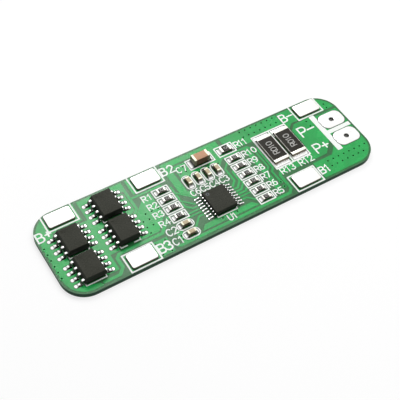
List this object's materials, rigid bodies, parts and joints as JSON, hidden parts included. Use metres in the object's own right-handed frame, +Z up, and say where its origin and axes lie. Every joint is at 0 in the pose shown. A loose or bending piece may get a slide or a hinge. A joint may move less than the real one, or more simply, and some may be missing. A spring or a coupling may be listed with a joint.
{
  "type": "battery management board",
  "caption": "Long round-cornered circuit board that guards a stack of cells, with nickel cell tabs, switching transistors, a controller, current shunts and two wire pads.",
  "frame": {"origin": "middle of the board's underside", "axes": "+X along the board towards the two wire pads, +Y towards the long edge with the cell plus and cell minus tabs, +Z up out of the parts' side"},
  "size_m": [0.062, 0.0176, 0.0026],
  "materials": {
    "laminate": "cut glass-fibre edge",
    "copper": "satin",
    "solder_mask": "glossy lacquer, lighter over copper",
    "white_ink": "satin ink",
    "solder": "bright, slightly uneven",
    "nickel": "satin rolled",
    "moulding": "fine matt grain",
    "lead_tin": "matt tin",
    "alumina": "white ceramic",
    "ceramic": "tan ceramic",
    "end_plating": "matt tin",
    "black_glaze": "glazed"
  },
  "bodies": {
    "root": {"laminate": "laminate", "top_copper": "copper", "bottom_copper": "copper", "via_barrels": "copper", "top_mask": "solder_mask", "bottom_mask": "solder_mask", "silkscreen": "white_ink", "fet_pads": "solder", "controller_pads": "solder", "small_pads": "solder", "shunt_pads": "solder", "tab_pads": "solder", "wire_pad_minus": "solder", "wire_pad_plus": "solder", "tab_b_plus": "nickel", "tab_b1": "nickel", "tab_b2": "nickel", "tab_b3": "nickel", "tab_b_minus": "nickel", "fet_1": "moulding", "fet_2": "moulding", "fet_3": "moulding", "fet_4": "moulding", "fet_leads_1": "lead_tin", "fet_leads_2": "lead_tin", "fet_leads_3": "lead_tin", "fet_leads_4": "lead_tin", "controller": "moulding", "controller_leads": "lead_tin", "resistor_1": "alumina", "resistor_2": "alumina", "resistor_3": "alumina", "resistor_4": "alumina", "resistor_5": "alumina", "resistor_6": "alumina", "resistor_7": "alumina", "resistor_8": "alumina", "resistor_9": "alumina", "resistor_10": "alumina", "resistor_11": "alumina", "resistor_12": "alumina", "resistor_13": "alumina", "capacitor_1": "ceramic", "capacitor_2": "ceramic", "capacitor_3": "ceramic", "capacitor_4": "ceramic", "capacitor_5": "ceramic", "capacitor_6": "ceramic", "capacitor_7": "ceramic", "resistor_ends": "end_plating", "capacitor_ends": "end_plating", "shunt_ends": "end_plating", "resistor_coats": "black_glaze", "shunt_coats": "black_glaze"}
  },
  "joints": []
}
